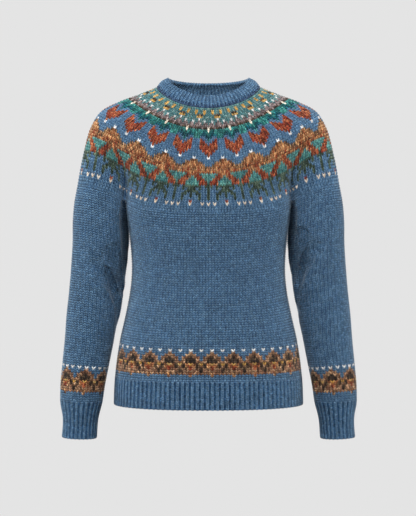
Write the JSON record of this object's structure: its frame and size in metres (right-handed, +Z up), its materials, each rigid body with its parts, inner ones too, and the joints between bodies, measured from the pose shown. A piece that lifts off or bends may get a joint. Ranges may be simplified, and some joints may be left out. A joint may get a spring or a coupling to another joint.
{
  "type": "icelandic yoke sweater, as worn",
  "caption": "Women's pullover of thick blue wool knitted in the round, with a round colourwork yoke, patterned bands above the hem and cuffs, and a ribbed crew neckband, arms down.",
  "frame": {"origin": "middle of the neck opening, at the height where the yoke bears on the wearer's shoulders", "axes": "+X towards the wearer's left arm, -Y the way the front faces, +Z up"},
  "size_m": [0.5508, 0.2356, 0.6695],
  "materials": {
    "wool_blue": "matt, fuzzy wool stocking stitch, plain above patterned bands",
    "yoke_colourwork": "matt, fuzzy wool stocking stitch in several colours",
    "wool_rib": "matt, fuzzy wool ribbing"
  },
  "bodies": {
    "root": {"body": "wool_blue", "sleeve_left": "wool_blue", "sleeve_right": "wool_blue", "yoke": "yoke_colourwork", "neckband": "wool_rib", "hem_rib": "wool_rib", "cuff_left": "wool_rib", "cuff_right": "wool_rib"}
  },
  "joints": []
}
